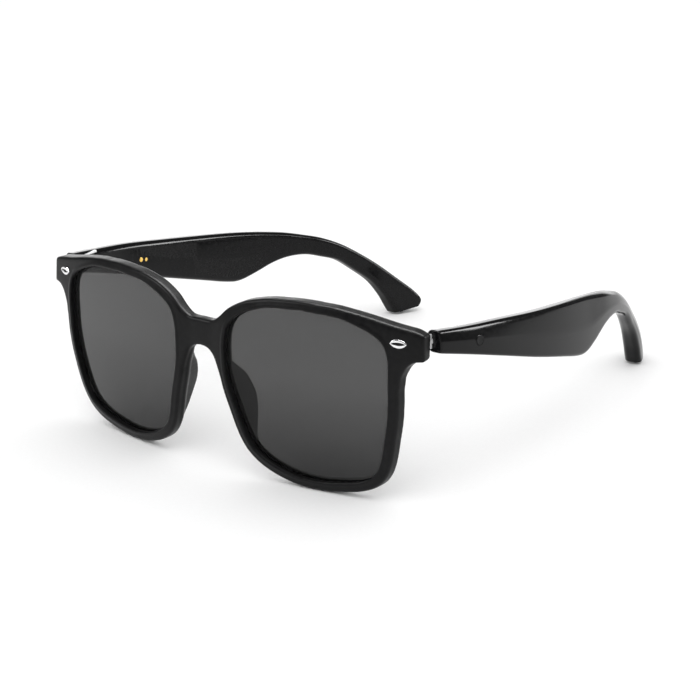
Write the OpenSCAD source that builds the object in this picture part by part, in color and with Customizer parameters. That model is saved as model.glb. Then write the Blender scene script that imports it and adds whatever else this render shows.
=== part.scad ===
// Smart glasses: a one-piece front with two lenses, and two hinged temples that
// each hold a battery, a circuit board, a speaker and charging contacts.
// X runs to the wearer's left, the lenses face -Y, Z is up, and the rims and
// ear tips stand on z = 0. Half of the object is drawn and mirrored in X.

/* [Front] */
// Width of the front across its two end pieces
front_w = 142; // [136:1:154]
// Width of each lens opening
lens_w = 52; // [48:1:54]
// Height of each lens opening
lens_h = 48.5; // [40:0.5:60]
// Gap between the two lens openings at the bridge
bridge_w = 19; // [17:1:23]
// Thickness of the front from face to back, along its top
rim_t = 4; // [3.6:0.1:5]
// Thickness of the front from face to back, along its bottom
rim_t_low = 3.6; // [3.5:0.1:4.5]
// Width of the rim along the top of a lens
rim_top = 2.4; // [2:0.1:4]
// Width of the rim along the bottom of a lens
rim_bottom = 3; // [2.4:0.1:4]
// Width of the rim at the sides of a lens
rim_side = 2.7; // [2.4:0.1:4]
// Horizontal radius of the face
face_r = 243; // [180:1:320]
// Vertical radius of the face
face_r_v = 143; // [110:1:200]
// Height of the end piece that carries the hinge
end_h = 7.5; // [6.8:0.1:9]
// Drop of the end piece below the top of the rims
end_drop = 4.6; // [3:0.1:8]
// Height of the bridge between its arch and its top edge
bridge_h = 7.7; // [5:0.1:9]
// Drop of the bridge below the top of the rims
bridge_drop = 9.5; // [6:0.1:12]
// How far the nose pads stand out behind the face
pad_reach = 10; // [8:0.1:12]

/* [Lens] */
// Thickness of a lens
lens_t = 1.2; // [1:0.1:1.4]
// Depth of a lens behind the face
lens_recess = 1.8; // [1.4:0.1:1.9]
// Depth of the groove that holds the edge of a lens
groove = 0.7; // [0.4:0.1:1]

/* [Temple] */
// Length from the temple's front end to the back of its ear tip
temple_l = 134; // [120:1:150]
// Thickness of the temple at its front end
temple_t = 4.6; // [4.4:0.1:5.5]
// Thickness of the temple where the battery and speaker are
body_t = 5.6; // [5.4:0.1:7]
// Height of the temple's front end
temple_h = 5.8; // [5.4:0.1:7]
// Greatest height of the temple's body
body_h = 16.4; // [15:0.1:20]
// How far the temple bows out beyond the end piece
bow_out = 4.1; // [3:0.1:5]
// Gap between the end piece and the temple
end_gap = 2.6; // [2.2:0.1:4]
// Wall of the temple's outer shell
wall = 1.2; // [0.9:0.1:1.4]
// Thickness of the inner cover
cover_t = 1; // [0.8:0.1:1.2]
// Rim of the shell around the inner cover
lip = 1.5; // [1.2:0.1:2]

/* [Hinge] */
// Radius of the hinge screw
pin_r = 0.6; // [0.5:0.05:0.7]
// Radius of the hinge knuckles
knuckle_r = 1.4; // [1.2:0.05:1.5]
// Height of the temple's knuckle
knuckle_h = 1.3; // [1:0.1:1.6]
// Height of each knuckle on the front
ear_h = 1.2; // [1:0.1:1.3]

/* [Electronics] */
// Length of the battery
battery_l = 25; // [18:1:27]
// Height of the battery
battery_h = 6.6; // [5:0.1:7]
// Thickness of the battery
battery_t = 2.2; // [1.5:0.1:2.3]
// Radius of the speaker
speaker_r = 4.6; // [3.5:0.1:4.8]
// Thickness of the speaker
speaker_t = 2.4; // [1.5:0.1:2.5]
// Radius of the push button
button_r = 1.4; // [1.2:0.1:1.6]
// Radius of each charging contact
contact_r = 0.75; // [0.5:0.05:0.9]
// Distance between the two charging contacts
contact_gap = 2.2; // [2:0.1:3]

/* [Hidden] */
$fn = 48;

left = 1;
right = -1;
fit = 0.05;           // clearance between pieces that lie against each other
run = 0.05;           // radial running clearance of the hinge screw
far = 200;            // longer than anything that it cuts
face_steps = 7;       // flats that follow the face from bottom to top

// Front: heights and places
lens_x = (bridge_w + lens_w) / 2;
lens_z = rim_bottom + lens_h / 2;
top_z = rim_bottom + lens_h + rim_top;
end_x = front_w / 2 + 0.3;
end_top = top_z - end_drop;
bridge_top = top_z - bridge_drop;
arch_z = bridge_top - bridge_h;
face_z = lens_z + 1.8;
hinge_z = end_top - end_h * 0.453;       // a little above the middle of the end piece

// Depth of the face behind its foremost point
function face_y(x, z) =
    face_r - sqrt(pow(face_r - face_r_v + sqrt(pow(face_r_v, 2) - pow(z - face_z, 2)), 2) - x * x);
// Turn of the face about Z at a distance from the middle
function face_turn(x) = asin(x / face_r);

// Hinge axis, and the front end of the temple
back_y = face_y(end_x - 4, hinge_z) + rim_t / cos(face_turn(end_x - 4));
hinge_x = end_x - 2.7;
hinge_y = back_y + knuckle_r + 0.35;
temple_y = back_y + end_gap;
foremost = 0.1;       // the rims start this far behind the face's own foremost point
tip_past = 0.36;      // the ear tip's rounding carries it this far past the temple's length
origin_y = (foremost + temple_y + temple_l + tip_past) / 2;

// A smooth curve through points: one stretch of it, a closed curve, and an open one
function stretch(a, b, c, d, t) =
    (2 * b + (c - a) * t + (2 * a - 5 * b + 4 * c - d) * t * t + (3 * b - a - 3 * c + d) * t * t * t) / 2;
function closed(p, n) = [
    for (i = [0:len(p) - 1], k = [0:n - 1])
        stretch(p[(i + len(p) - 1) % len(p)], p[i], p[(i + 1) % len(p)], p[(i + 2) % len(p)], k / n)
];
function open(p, n) = [
    for (i = [0:len(p) - 2], k = [0:n - (i == len(p) - 2 ? 0 : 1)])
        stretch(p[max(i - 1, 0)], p[i], p[i + 1], p[min(i + 2, len(p) - 1)], k / n)
];
// A closed outline moved outwards by a distance, along its own normals
function normal(a, b) = [b[1] - a[1], a[0] - b[0]] / norm(b - a);
function grow(p, d) = [
    for (i = [0:len(p) - 1]) p[i] + d * normal(p[(i + len(p) - 1) % len(p)], p[(i + 1) % len(p)])
];
// A closed outline moved outwards by the rim's own width in each direction
function rim_width(v) = v[1] > 0
    ? norm([rim_side * v[0], rim_top * v[1]])
    : norm([rim_side * v[0], rim_bottom * v[1]]);
function grow_rim(p) = [
    for (i = [0:len(p) - 1])
        let (v = normal(p[(i + len(p) - 1) % len(p)], p[(i + 1) % len(p)])) p[i] + rim_width(v) * v
];

// Lens opening, as shares of its half width and half height, from the temple side up and round
opening_shape = [
    [1, 0.23], [0.95, 0.73], [0.55, 0.95], [0.15, 1], [-0.18, 1], [-0.55, 0.95], [-0.94, 0.72],
    [-1, 0.23], [-0.89, -0.23], [-0.7, -0.73], [-0.27, -0.965], [0.25, -0.983], [0.76, -0.81], [0.95, -0.27]
];
opening = closed([
    for (p = opening_shape) [lens_x + p[0] * lens_w / 2, lens_z + p[1] * lens_h / 2]
], 4);

// End piece: its top edge, its side, and the hollow fillet under it back to the rim
end_piece = concat(
    open([
        [lens_x, top_z - 0.6], [lens_x + 10, top_z - 0.5], [lens_x + 18.5, top_z - 1.6],
        [lens_x + 27, end_top + 1.3], [end_x - 1.5, end_top], [end_x, end_top - 1]
    ], 3),
    open([
        [end_x, end_top - end_h + 0.9], [end_x - 0.7, end_top - end_h], [end_x - 2.8, end_top - end_h - 0.6],
        [end_x - 4.6, end_top - end_h - 1.8], [end_x - 5.7, end_top - end_h - 3.4], [end_x - 6.6, end_top - end_h - 5.5],
        [lens_x + lens_w / 2 + rim_side + 0.1, end_top - end_h - 8.5], [lens_x + lens_w / 2 + rim_side - 0.9, lens_z - 0.5]
    ], 3),
    [[lens_x + lens_w / 4, lens_z]]
);

// Bridge: its top edge up to the rims, and the arch over the nose
bridge_side = [
    [lens_x - 13, top_z - 0.7], [lens_x - 19, top_z - 2.1], [lens_x - 24.5, top_z - 4.7],
    [lens_x - 28.3, top_z - 7.8], [bridge_w / 4 - 0.5, bridge_top + 0.1], [0, bridge_top]
];
arch_side = [
    [0, arch_z], [bridge_w * 0.14, arch_z - 0.5], [bridge_w * 0.25, arch_z - 2.2],
    [bridge_w * 0.34, arch_z - 5.6], [bridge_w * 0.42, arch_z - 10], [bridge_w * 0.5, arch_z - 15]
];
bridge_half = concat(
    open(bridge_side, 3),
    open(arch_side, 3),
    [[lens_x - lens_w / 4, arch_z - 15]]
);

module both() {
    children();
    mirror([1, 0, 0]) children();
}

module on_side(side) {
    mirror([side == left ? 0 : 1, 0, 0]) children();
}

module placed() {
    translate([0, -origin_y, 0]) children();
}

// An outline in X and Z, drawn out along Y
module through_y(from = -1, depth = 40) {
    translate([0, from + depth, 0]) rotate([90, 0, 0]) linear_extrude(depth) children();
}

// An outline in Y and Z, drawn out along X
module through_x(from, width) {
    translate([from, 0, 0]) rotate([90, 0, 90]) linear_extrude(width) children();
}

// A layer that follows the face, from one depth behind it to another. Its back may be
// at a different depth along the bottom than along the top.
module layer(front, back, back_low = -1) {
    function back_at(i) = back_low < 0 ? back : back_low + (back - back_low) * i / face_steps;
    low = asin((face_z + 1.5) / face_r_v) + 0.5;
    high = asin((top_z + 1.5 - face_z) / face_r_v) + 0.5;
    turns = [for (i = [0:face_steps]) -low + (low + high) * i / face_steps];
    ring = face_r - face_r_v;
    sweep = face_turn(end_x) + 1.5;
    translate([0, face_r, 0]) rotate([0, 0, -90 - sweep]) rotate_extrude(angle = 2 * sweep, $fn = 400)
        polygon(concat(
            [for (a = turns) [ring + (face_r_v - front) * cos(a), face_z + (face_r_v - front) * sin(a)]],
            [for (i = [face_steps:-1:0])
                [ring + (face_r_v - back_at(i)) * cos(turns[i]), face_z + (face_r_v - back_at(i)) * sin(turns[i])]]
        ));
}

// Rivet head: the overlap of two circles gives its pointed oval
module rivet_outline(extra = 0) {
    rivet_w = 5 + 2 * extra;
    rivet_h = 2.5 + 2 * extra;
    circle_r = (rivet_w * rivet_w / rivet_h + rivet_h) / 4;
    intersection() {
        translate([0, circle_r - rivet_h / 2]) circle(circle_r);
        translate([0, rivet_h / 2 - circle_r]) circle(circle_r);
    }
}
rivet_x = end_x - 6.8;
rivet_z = end_top - 3.1;
rivet_proud = 0.25;
rivet_depth = 1.4;
module at_rivet() {
    translate([rivet_x, face_y(rivet_x, rivet_z), rivet_z]) rotate([0, 0, face_turn(rivet_x)]) children();
}

// Nose pad: a leaf-shaped fin behind the nose side of the rim
module nose_pad() {
    root_y = rim_t_low - 0.4;
    nose_x = lens_x - lens_w / 2;
    leaf_front = [
        [nose_x - 4.3, arch_z - 2.8], [nose_x - 2.4, arch_z - 5.6], [nose_x - 1.2, arch_z - 9.6],
        [nose_x - 0.1, arch_z - 14.6], [nose_x + 2, arch_z - 21.6], [nose_x + 5, arch_z - 27],
        [nose_x + 7.9, arch_z - 30.4], [nose_x + 7.1, arch_z - 26.6], [nose_x + 5.2, arch_z - 21.6],
        [nose_x + 3.5, arch_z - 16.6], [nose_x + 2.3, arch_z - 11.6], [nose_x + 0.7, arch_z - 6.6],
        [nose_x - 1.4, arch_z - 3.6]
    ];
    leaf_side = [
        [0, arch_z - 1.6], [root_y, arch_z - 2], [pad_reach * 0.68, arch_z - 6], [pad_reach * 0.88, arch_z - 8.7],
        [pad_reach, arch_z - 13], [pad_reach * 0.96, arch_z - 16.5], [pad_reach * 0.78, arch_z - 21.5],
        [pad_reach * 0.54, arch_z - 26.5], [root_y, arch_z - 30], [0, arch_z - 31]
    ];
    intersection() {
        through_y() polygon(closed(leaf_front, 3));
        through_x(0, lens_x) polygon(open(leaf_side, 3));
        layer(root_y, pad_reach + 3);
    }
}

module front_frame() {
    color([0.05, 0.05, 0.055]) placed() difference() {
        union() {
            intersection() {
                layer(0, rim_t, rim_t_low);
                through_y() difference() {
                    union() both() {
                        polygon(grow_rim(opening));
                        polygon(end_piece);
                        polygon(bridge_half);
                    }
                    both() polygon(opening);
                }
            }
            both() nose_pad();
        }
        both() intersection() {
            layer(lens_recess - fit, lens_recess + lens_t + fit);
            through_y() polygon(grow(opening, groove + fit));
        }
        both() at_rivet() through_y(-1, rivet_depth + 1 + fit) rivet_outline(fit);
        both() hinge_plate(fit, 1);
    }
}

module lens(side) {
    color([0.2, 0.2, 0.2, 0.7]) placed() on_side(side) intersection() {
        layer(lens_recess, lens_recess + lens_t);
        through_y() polygon(grow(opening, groove));
    }
}

module rivet(side) {
    color([0.85, 0.85, 0.87]) placed() on_side(side) at_rivet()
        through_y(-rivet_proud, rivet_proud + rivet_depth) rivet_outline();
}

// Hinge
ear_z = knuckle_h / 2 + run;              // from the middle of the hinge to the front's knuckles
hinge_half = ear_z + ear_h;
plate_w = 5.6;
plate_t = 1.5;
plate_in = 1.6;                           // how far the middle of the plate sits inwards of the axis
lug_out = 0.8;                            // how far the knuckles' feet reach outwards, inside the plate's edge

module at_hinge() {
    translate([hinge_x, hinge_y, hinge_z]) children();
}

// Plate let into the back of the end piece, and the pocket for it, which is open at the back
module hinge_plate(extra = 0, open_back = 0) {
    turn = face_turn(hinge_x);
    at_hinge() translate([-plate_in, back_y - hinge_y - plate_in * tan(turn), 0]) rotate([0, 0, turn])
        translate([-plate_w / 2 - extra, -plate_t - extra, -hinge_half - extra])
            cube([plate_w + 2 * extra, plate_t + extra + open_back, 2 * (hinge_half + extra)]);
}

module front_hinge(side) {
    color([0.8, 0.8, 0.82]) placed() on_side(side) difference() {
        union() {
            hinge_plate();
            for (z = [ear_z, -hinge_half]) at_hinge() translate([0, 0, z]) {
                cylinder(r = knuckle_r, h = ear_h);
                translate([-knuckle_r, -knuckle_r - 1, 0]) cube([knuckle_r + lug_out, knuckle_r + 1, ear_h]);
            }
        }
        at_hinge() cylinder(r = pin_r + 0.02, h = far, center = true);
        at_hinge() translate([0, 0, hinge_half - head_t]) cylinder(r = head_r + 0.02, h = 1);
    }
}

head_r = 1;
head_t = 0.4;
module hinge_screw(side) {
    color([0.7, 0.7, 0.72]) placed() on_side(side) at_hinge() difference() {
        union() {
            translate([0, 0, -hinge_half]) cylinder(r = pin_r, h = 2 * hinge_half - 0.05);
            translate([0, 0, hinge_half - head_t + 0.02]) cylinder(r = head_r, h = head_t - 0.07);
        }
        translate([-head_r, -0.15, hinge_half - 0.22]) cube([2 * head_r, 0.3, 1]);
    }
}

// Temple: distance of its outer face from the middle, and its thickness
bow_y = temple_y + 28.5;
side_x = end_x + bow_out;
bow_front = 0.0033;
bow_back = 0.0025;
tip_flare = 1.2;                          // how much the ear tip swells outwards
function swell(t) = t <= 0 ? 0 : t >= 1 ? 1 : t * t * (3 - 2 * t);
function flare(y) = tip_flare * swell((y - temple_y) / temple_l / 0.12 - 7.1);
function outer_x(y) = side_x - (y < bow_y ? bow_front : bow_back) * pow(y - bow_y, 2) + flare(y);
function thickness(y) = flare(y)
    + lookup(y - temple_y, [[0, temple_t], [temple_l * 0.38, body_t], [temple_l * 0.7, 5]]);
function inner_x(y) = outer_x(y) - thickness(y);
function outer_turn(y) = atan(2 * (y < bow_y ? bow_front : bow_back) * (y - bow_y));

// Upper and lower edge of the temple, in pairs from its front end to its ear tip.
// Lengths along the temple are shares of its length, heights are from its own sizes.
temple_top = hinge_z + temple_h / 2 + 0.1;
low_z = temple_top - 9.1 - body_h;        // height of the temple's lower corner
edges = [
    [[0, temple_top], [0, temple_top - temple_h]],
    [[0.085, temple_top - 1.4], [0.085, temple_top - temple_h - 3.2]],
    [[0.19, temple_top - 3], [0.19, temple_top - temple_h - 7.4]],
    [[0.31, temple_top - 5.3], [0.295, low_z + body_h * 0.48]],
    [[0.42, temple_top - 7.3], [0.4, low_z + body_h * 0.23]],
    [[0.5, temple_top - 8.8], [0.475, low_z + 0.7]],
    [[0.555, temple_top - 10], [0.515, low_z]],
    [[0.605, temple_top - 11.3], [0.56, low_z + 1.3]],
    [[0.655, temple_top - 12.8], [0.61, low_z + 3.3]],
    [[0.705, temple_top - 14.8], [0.655, low_z + 4.2]],
    [[0.755, temple_top - 17.1], [0.705, low_z + 3.8]],
    [[0.805, temple_top - 20.5], [0.75, low_z + 1.9]],
    [[0.85, 24.2], [0.795, 22.8]],
    [[0.9, 18.9], [0.84, 18]],
    [[0.945, 13.2], [0.88, 13]],
    [[0.985, 7.8], [0.909, 7.4]],
    [[1.003, 4.2], [0.924, 3.4]],
    [[0.998, 2], [0.934, 0.7]]
];
function along(share) = temple_y + share * temple_l;
upper = open([for (e = edges) [along(e[0][0]), e[0][1]]], 2);
lower = open([for (e = edges) [along(e[1][0]), e[1][1]]], 2);

// A cross-section of the temple: a rounded rectangle between its two edges
ring_points = 16;
corner = 0.4;                             // power of the rounded corners: 0 is square, 1 is oval
function rounded(v) = sign(v) * pow(abs(v), corner);
function section(u, l, size) = [
    for (k = [0:ring_points - 1])
        let (
            a = 360 * (k + 0.5) / ring_points,
            p = (u + l) / 2 + (u - l) / 2 * rounded(sin(a)) * size,
            t = thickness(p[0]),
            x = outer_x(p[0]) - t / 2 + t / 2 * rounded(cos(a)) * size
        ) [x, p[0], p[1]]
];
tip_low = [along(0.964), 0];
module temple_body() {
    last = len(upper) - 1;
    rings = concat(
        [for (i = [0:last]) section(upper[i], lower[i], i == last ? 0.9 : 1)],
        [section([along(0.988), 0.8], [along(0.945), 0.2], 0.75)]
    );
    count = len(rings);
    points = concat(
        [for (r = rings, p = r) p],
        [[outer_x(temple_y) - temple_t / 2, temple_y, temple_top - temple_h / 2]],
        [[inner_x(tip_low[0]) + 2.5, tip_low[0], tip_low[1]]]
    );
    n = ring_points;
    faces = concat(
        [for (i = [0:count - 2], k = [0:n - 1]) [i * n + k, i * n + (k + 1) % n, (i + 1) * n + (k + 1) % n]],
        [for (i = [0:count - 2], k = [0:n - 1]) [i * n + k, (i + 1) * n + (k + 1) % n, (i + 1) * n + k]],
        [for (k = [0:n - 1]) [count * n, (k + 1) % n, k]],
        [for (k = [0:n - 1]) [count * n + 1, (count - 1) * n + k, (count - 1) * n + (k + 1) % n]]
    );
    polyhedron(points, faces);
}

// The space inside the temple, seen from the side
bay_start = 0.083;
bay_end = 0.58;
function edge_z(edge, y) = lookup(y, edge);
module bay_outline(margin) {
    first = along(bay_start) + margin;
    last = along(bay_end) - margin;
    steps = 12;
    ys = [for (i = [0:steps]) first + (last - first) * i / steps];
    polygon(concat(
        [for (y = ys) [y, edge_z(lower, y) + lip + margin]],
        [for (i = [steps:-1:0]) [ys[i], edge_z(upper, ys[i]) - lip - margin]]
    ));
}

// A strip that follows the temple's bow between two distances inside its outer face
module strip(outside, inside) {
    steps = 16;
    first = temple_y;
    last = along(0.62);
    ys = [for (i = [0:steps]) first + (last - first) * i / steps];
    linear_extrude(far) polygon(concat(
        [for (y = ys) [outer_x(y) - outside, y]],
        [for (i = [steps:-1:0]) [inner_x(ys[i]) + inside, ys[i]]]
    ));
}

module temple_shell(side) {
    color([0.04, 0.04, 0.045]) placed() on_side(side) difference() {
        temple_body();
        intersection() {
            through_x(0, far) bay_outline(0);
            strip(wall, -1);
        }
        hinge_pocket();
        at_button() rotate([0, 90, 0]) cylinder(r = button_r + 0.1, h = 4, center = true);
        at_grille() cube([grille_w + 2 * fit, grille_l + 2 * fit, 6], center = true);
        at_microphone() cylinder(r = 0.5, h = 6, center = true);
    }
}

module temple_cover(side) {
    color([0.07, 0.07, 0.075]) placed() on_side(side) difference() {
        intersection() {
            temple_body();
            through_x(0, far) bay_outline(fit);
            difference() {
                strip(-1, -1);
                strip(-2, cover_t);
            }
        }
        for (k = [-0.5, 0.5]) at_contact(k) rotate([0, 90, 0]) cylinder(r = contact_r + 0.02, h = 8, center = true);
    }
}

// Temple half of the hinge: a knuckle, a neck and a block sunk into the shell
block_l = 7.5;
block_h = 3.4;
block_t = 2.4;
block_y = temple_y - hinge_y + 2;
neck_in = 0.3;                            // how far the neck reaches inwards of the hinge's axis
block_share = (2 + block_l / 2) / temple_l;
module at_block() {
    on_temple(block_share, hinge_z, thickness(along(block_share)) - block_t / 2 - 0.2) children();
}
module hinge_pocket() {
    at_hinge() {
        translate([-10, -2, -hinge_half - 0.15])
            cube([10 + knuckle_r + 0.4, block_y + 2 + fit, 2 * hinge_half + 0.3]);
    }
    at_block() translate([-10, -block_l / 2 - 1.6, -block_h / 2 - fit])
        cube([10 + block_t / 2 + fit, block_l + 1.6 + fit, block_h + 2 * fit]);
}

module temple_hinge(side) {
    color([0.8, 0.8, 0.82]) placed() on_side(side) difference() {
        union() {
            at_hinge() translate([0, 0, -knuckle_h / 2]) {
                cylinder(r = knuckle_r, h = knuckle_h);
                translate([-neck_in, 0, 0]) cube([neck_in + knuckle_r, block_y + 1.5, knuckle_h]);
            }
            at_block() cube([block_t, block_l, block_h], center = true);
        }
        at_hinge() cylinder(r = pin_r + run, h = far, center = true);
    }
}

// A place on the temple at a share of its length and a height, facing out along its normal
module on_temple(share, z, depth = 0) {
    y = along(share);
    translate([outer_x(y), y, z]) rotate([0, 0, outer_turn(y)]) translate([-depth, 0, 0]) children();
}
// Fall of the temple's middle line from front to back, in degrees
fall = 11;

button_share = 0.105;
button_z = temple_top - temple_h / 2 - 2.8;
button_travel = 0.3;
module at_button() {
    on_temple(button_share, button_z) children();
}
module button(side) {
    color([0.08, 0.08, 0.085]) placed() on_side(side) at_button() rotate([0, -90, 0]) {
        cylinder(r = button_r, h = wall + 0.6);
        translate([0, 0, wall + 0.2]) cylinder(r = button_r + 0.3, h = 0.4);
    }
}

battery_share = 0.39;
battery_z = (edge_z(upper, along(battery_share)) + edge_z(lower, along(battery_share))) / 2 - 0.5;
// Middle of the free space between the shell's wall and the cover
function bay_depth(share) = (wall + thickness(along(share)) - cover_t) / 2;
module battery(side) {
    color([0.75, 0.76, 0.78]) placed() on_side(side)
        on_temple(battery_share, battery_z, bay_depth(battery_share)) rotate([-fall, 0, 0])
            cube([battery_t, battery_l, battery_h], center = true);
}

board_share = 0.205;
board_l = 15;
board_h = 4.6;
board_z = (edge_z(upper, along(board_share)) + edge_z(lower, along(board_share))) / 2;
module board(side) {
    color([0.05, 0.25, 0.12]) placed() on_side(side) on_temple(board_share, board_z, wall + 0.5)
        rotate([-fall, 0, 0]) {
            translate([-0.8, -board_l / 2, -board_h / 2]) cube([0.8, board_l, board_h]);
            translate([-1.5, -board_l / 2 + 1, -board_h / 2 + 0.8]) cube([0.8, 3.4, 3]);
            translate([-1.3, board_l / 2 - 3.4, -board_h / 2 + 0.6]) cube([0.6, 2.4, 3.2]);
        }
}

flex_l = 26;
flex_h = 0.8;
module flex(side) {
    color([0.75, 0.45, 0.1]) placed() on_side(side)
        on_temple(battery_share, battery_z, bay_depth(battery_share)) rotate([-fall, 0, 0])
            translate([-0.1, -flex_l / 2, battery_h / 2 + 0.3]) cube([0.2, flex_l, flex_h]);
}

speaker_share = 0.53;
speaker_z = (edge_z(upper, along(speaker_share)) + edge_z(lower, along(speaker_share))) / 2 - 0.2;
module speaker(side) {
    color([0.3, 0.3, 0.32]) placed() on_side(side)
        on_temple(speaker_share, speaker_z, bay_depth(speaker_share)) rotate([0, 90, 0]) {
            cylinder(r = speaker_r, h = speaker_t - 0.6, center = true);
            cylinder(r = speaker_r * 0.7, h = speaker_t, center = true);
        }
}

grille_w = 1.8;
grille_l = 7;
grille_t = 0.9;
grille_share = 0.43;
grille_fall = 19;
module at_grille() {
    y = along(grille_share);
    on_temple(grille_share, edge_z(lower, y), thickness(y) / 2) rotate([-grille_fall, 0, 0]) children();
}
module grille(side) {
    slots = 5;
    color([0.15, 0.15, 0.16]) placed() on_side(side) at_grille() translate([0, 0, 0.3]) difference() {
        translate([-grille_w / 2, -grille_l / 2, 0]) cube([grille_w, grille_l, grille_t]);
        for (i = [0:slots - 1]) translate([-0.6, (i - (slots - 1) / 2) * 1.3 - 0.3, -1]) cube([1.2, 0.6, 4]);
    }
}

microphone_share = 0.13;
module at_microphone() {
    y = along(microphone_share);
    on_temple(microphone_share, edge_z(lower, y), thickness(y) / 2) rotate([-15, 0, 0]) children();
}
module microphone(side) {
    color([0.7, 0.6, 0.3]) placed() on_side(side) at_microphone()
        translate([-0.8, -1.5, lip + 0.15]) cube([1.6, 3, 0.8]);
}

// Charging contacts and the magnets beside them, square to the inner face
contact_y = along(0.223);
contact_z = (edge_z(upper, contact_y) + edge_z(lower, contact_y)) / 2 - 0.1;
contact_fall = 0.18;
contact_len = cover_t + 0.45;
module at_contact(k) {
    y = contact_y + k * contact_gap;
    translate([inner_x(contact_y) - 0.05, y, contact_z - k * contact_gap * contact_fall]) children();
}
module contact(side, k) {
    color([0.9, 0.7, 0.3]) placed() on_side(side) at_contact(k) rotate([0, 90, 0])
        cylinder(r = contact_r, h = contact_len);
}

magnet_r = 1.1;
module magnet(side, k) {
    color([0.6, 0.6, 0.62]) placed() on_side(side) at_contact(k) translate([cover_t + 0.2, 0, 0])
        rotate([0, 90, 0]) cylinder(r = magnet_r, h = 0.5);
}

front_frame();
lens(left);  // lens_left
lens(right);  // lens_right
rivet(left);  // rivet_left
rivet(right);  // rivet_right
front_hinge(left);  // front_hinge_left
front_hinge(right);  // front_hinge_right
hinge_screw(left);  // hinge_screw_left
hinge_screw(right);  // hinge_screw_right
temple_shell(left);  // temple_shell_left
temple_shell(right);  // temple_shell_right
temple_cover(left);  // temple_cover_left
temple_cover(right);  // temple_cover_right
temple_hinge(left);  // temple_hinge_left
temple_hinge(right);  // temple_hinge_right
button(left);  // button_left
button(right);  // button_right
battery(left);  // battery_left
battery(right);  // battery_right
board(left);  // board_left
board(right);  // board_right
flex(left);  // flex_left
flex(right);  // flex_right
speaker(left);  // speaker_left
speaker(right);  // speaker_right
grille(left);  // grille_left
grille(right);  // grille_right
microphone(left);  // microphone_left
microphone(right);  // microphone_right
contact(left, -0.5);  // contact_front_left
contact(right, -0.5);  // contact_front_right
contact(left, 0.5);  // contact_rear_left
contact(right, 0.5);  // contact_rear_right
magnet(left, -1.6);  // magnet_front_left
magnet(right, -1.6);  // magnet_front_right
magnet(left, 1.6);  // magnet_rear_left
magnet(right, 1.6);  // magnet_rear_right
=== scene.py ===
import math
import bpy
import numpy as np
from mathutils import Matrix, Vector


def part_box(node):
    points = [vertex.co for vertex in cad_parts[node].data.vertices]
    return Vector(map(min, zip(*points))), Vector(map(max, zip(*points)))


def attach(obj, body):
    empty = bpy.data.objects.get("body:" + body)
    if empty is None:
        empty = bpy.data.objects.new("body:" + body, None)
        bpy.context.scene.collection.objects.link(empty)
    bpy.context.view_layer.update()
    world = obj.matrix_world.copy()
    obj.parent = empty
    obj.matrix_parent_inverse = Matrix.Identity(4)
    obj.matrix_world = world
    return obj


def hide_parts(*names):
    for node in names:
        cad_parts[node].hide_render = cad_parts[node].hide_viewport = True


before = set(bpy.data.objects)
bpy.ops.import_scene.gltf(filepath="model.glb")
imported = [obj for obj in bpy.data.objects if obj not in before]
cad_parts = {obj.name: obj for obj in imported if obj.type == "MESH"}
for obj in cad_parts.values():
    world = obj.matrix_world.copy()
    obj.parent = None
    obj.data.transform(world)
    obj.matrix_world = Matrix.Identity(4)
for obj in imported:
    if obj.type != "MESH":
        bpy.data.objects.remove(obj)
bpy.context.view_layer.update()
scene = bpy.context.scene
scene.view_settings.view_transform = "Standard"
MM = 0.001
SIDES = (("left", 1), ("right", -1))

# ---------------------------------------------------------------- camera
AZIMUTH, ELEVATION, ROLL = (math.radians(v) for v in (41.48, 18.29, 2.67))
AWAY, TARGET = 0.5731, Vector((0.02185, -0.03676, 0.0286))
out = Vector((
    math.sin(AZIMUTH) * math.cos(ELEVATION), -math.cos(AZIMUTH) * math.cos(ELEVATION), math.sin(ELEVATION)))
across = (-out).cross(Vector((0, 0, 1))).normalized()
below = -across.cross(-out)
image_x = math.cos(ROLL) * across + math.sin(ROLL) * below
image_y = -math.sin(ROLL) * across + math.cos(ROLL) * below
turned = Matrix((image_x, -image_y, out)).transposed().to_4x4()
turned.translation = TARGET + out * AWAY
camera_data = bpy.data.cameras.new("camera")
camera = bpy.data.objects.new("camera", camera_data)
scene.collection.objects.link(camera)
camera.matrix_world = turned
camera_data.lens = 103.2
camera_data.sensor_width = 36
camera_data.clip_start = 0.01
scene.camera = camera

# ---------------------------------------------------------------- sizes shared with the CAD, in mm
LENS_W, LENS_H, BRIDGE_W = 52, 48.5, 19
RIM_TOP, RIM_BOTTOM, RIM_SIDE = 2.4, 3, 2.7
RIM_T, RIM_T_LOW = 4, 3.6
FACE_R, FACE_RV = 243, 143
END_H, END_DROP, BRIDGE_H, BRIDGE_DROP = 7.5, 4.6, 7.7, 9.5
PAD_REACH = 10
LENS_T, RECESS, GROOVE = 1.2, 1.8, 0.7
TEMPLE_L, TEMPLE_T, BODY_T, TEMPLE_H, BODY_H = 134, 4.6, 5.6, 5.8, 16.4
BOW_OUT, END_GAP, WALL, COVER_T, LIP = 4.1, 2.6, 1.2, 1, 1.5
KNUCKLE_R, KNUCKLE_H, EAR_H, BUTTON_R = 1.4, 1.3, 1.2, 1.4
PLATE_W, PLATE_T, PLATE_IN, PLATE_FIT = 5.6, 1.5, 1.6, 0.1
HINGE_IN, HINGE_SHARE, KNUCKLE_GAP, KNUCKLE_RUN = 2.7, 0.453, 0.35, 0.05
BOW_FRONT, BOW_BACK, BOW_MIDDLE, TIP_FLARE = 0.0033, 0.0025, 28.5, 1.2

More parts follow.
